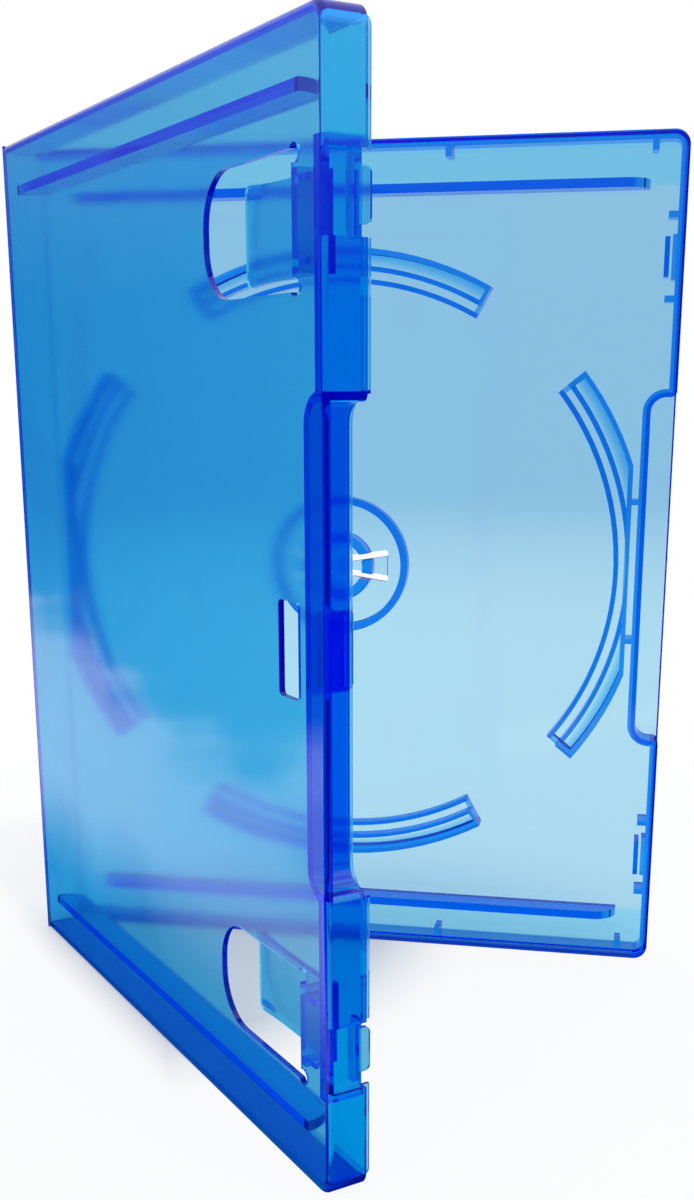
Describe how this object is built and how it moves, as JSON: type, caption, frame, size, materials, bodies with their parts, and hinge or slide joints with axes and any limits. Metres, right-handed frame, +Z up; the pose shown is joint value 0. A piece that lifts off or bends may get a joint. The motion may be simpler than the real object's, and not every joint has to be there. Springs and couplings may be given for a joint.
{
  "type": "game disc case",
  "caption": "Clear blue plastic case for a game disc, standing part open on its end, with hinged covers, a disc hub with a press release, booklet clips and snap latches.",
  "frame": {"origin": "under the middle of the open case, on the surface it stands on", "axes": "+Z up along the spine; +X from the spine to the free edge of the back cover; +Y out of the back of the case"},
  "size_m": [0.1384, 0.1138, 0.171],
  "materials": {
    "clear_blue_plastic": "clear, glossy, moulded"
  },
  "bodies": {
    "back_cover": {"back_cover": "clear_blue_plastic"},
    "spine": {"spine": "clear_blue_plastic"},
    "front_cover": {"front_cover": "clear_blue_plastic"},
    "hub_release_right": {"hub_release_right": "clear_blue_plastic"},
    "hub_release_left": {"hub_release_left": "clear_blue_plastic"}
  },
  "joints": [
    {"name": "spine_hinge", "type": "hinge", "parent": "back_cover", "child": "spine", "pos_m": [-0.0653, 0.05639, 0.0855], "axis": [0, 0, -1], "range_deg": [-15.15, 74.85]},
    {"name": "cover_hinge", "type": "hinge", "parent": "spine", "child": "front_cover", "pos_m": [-0.0687, 0.04384, 0.0855], "axis": [0, 0, -1], "range_deg": [-33.4, 56.6]},
    {"name": "hub_release_right_tip", "type": "hinge", "parent": "back_cover", "child": "hub_release_right", "pos_m": [0.00945, 0.05399, 0.0855], "axis": [0, 0, -1], "range_deg": [0, 5], "stiffness_Nm_per_rad": 0.2},
    {"name": "hub_release_left_tip", "type": "hinge", "parent": "back_cover", "child": "hub_release_left", "pos_m": [-0.01015, 0.05399, 0.0855], "axis": [0, 0, 1], "range_deg": [0, 5]}
  ],
  "couplings": [
    {"joint": "hub_release_left_tip", "follows": "hub_release_right_tip", "ratio": 1}
  ]
}
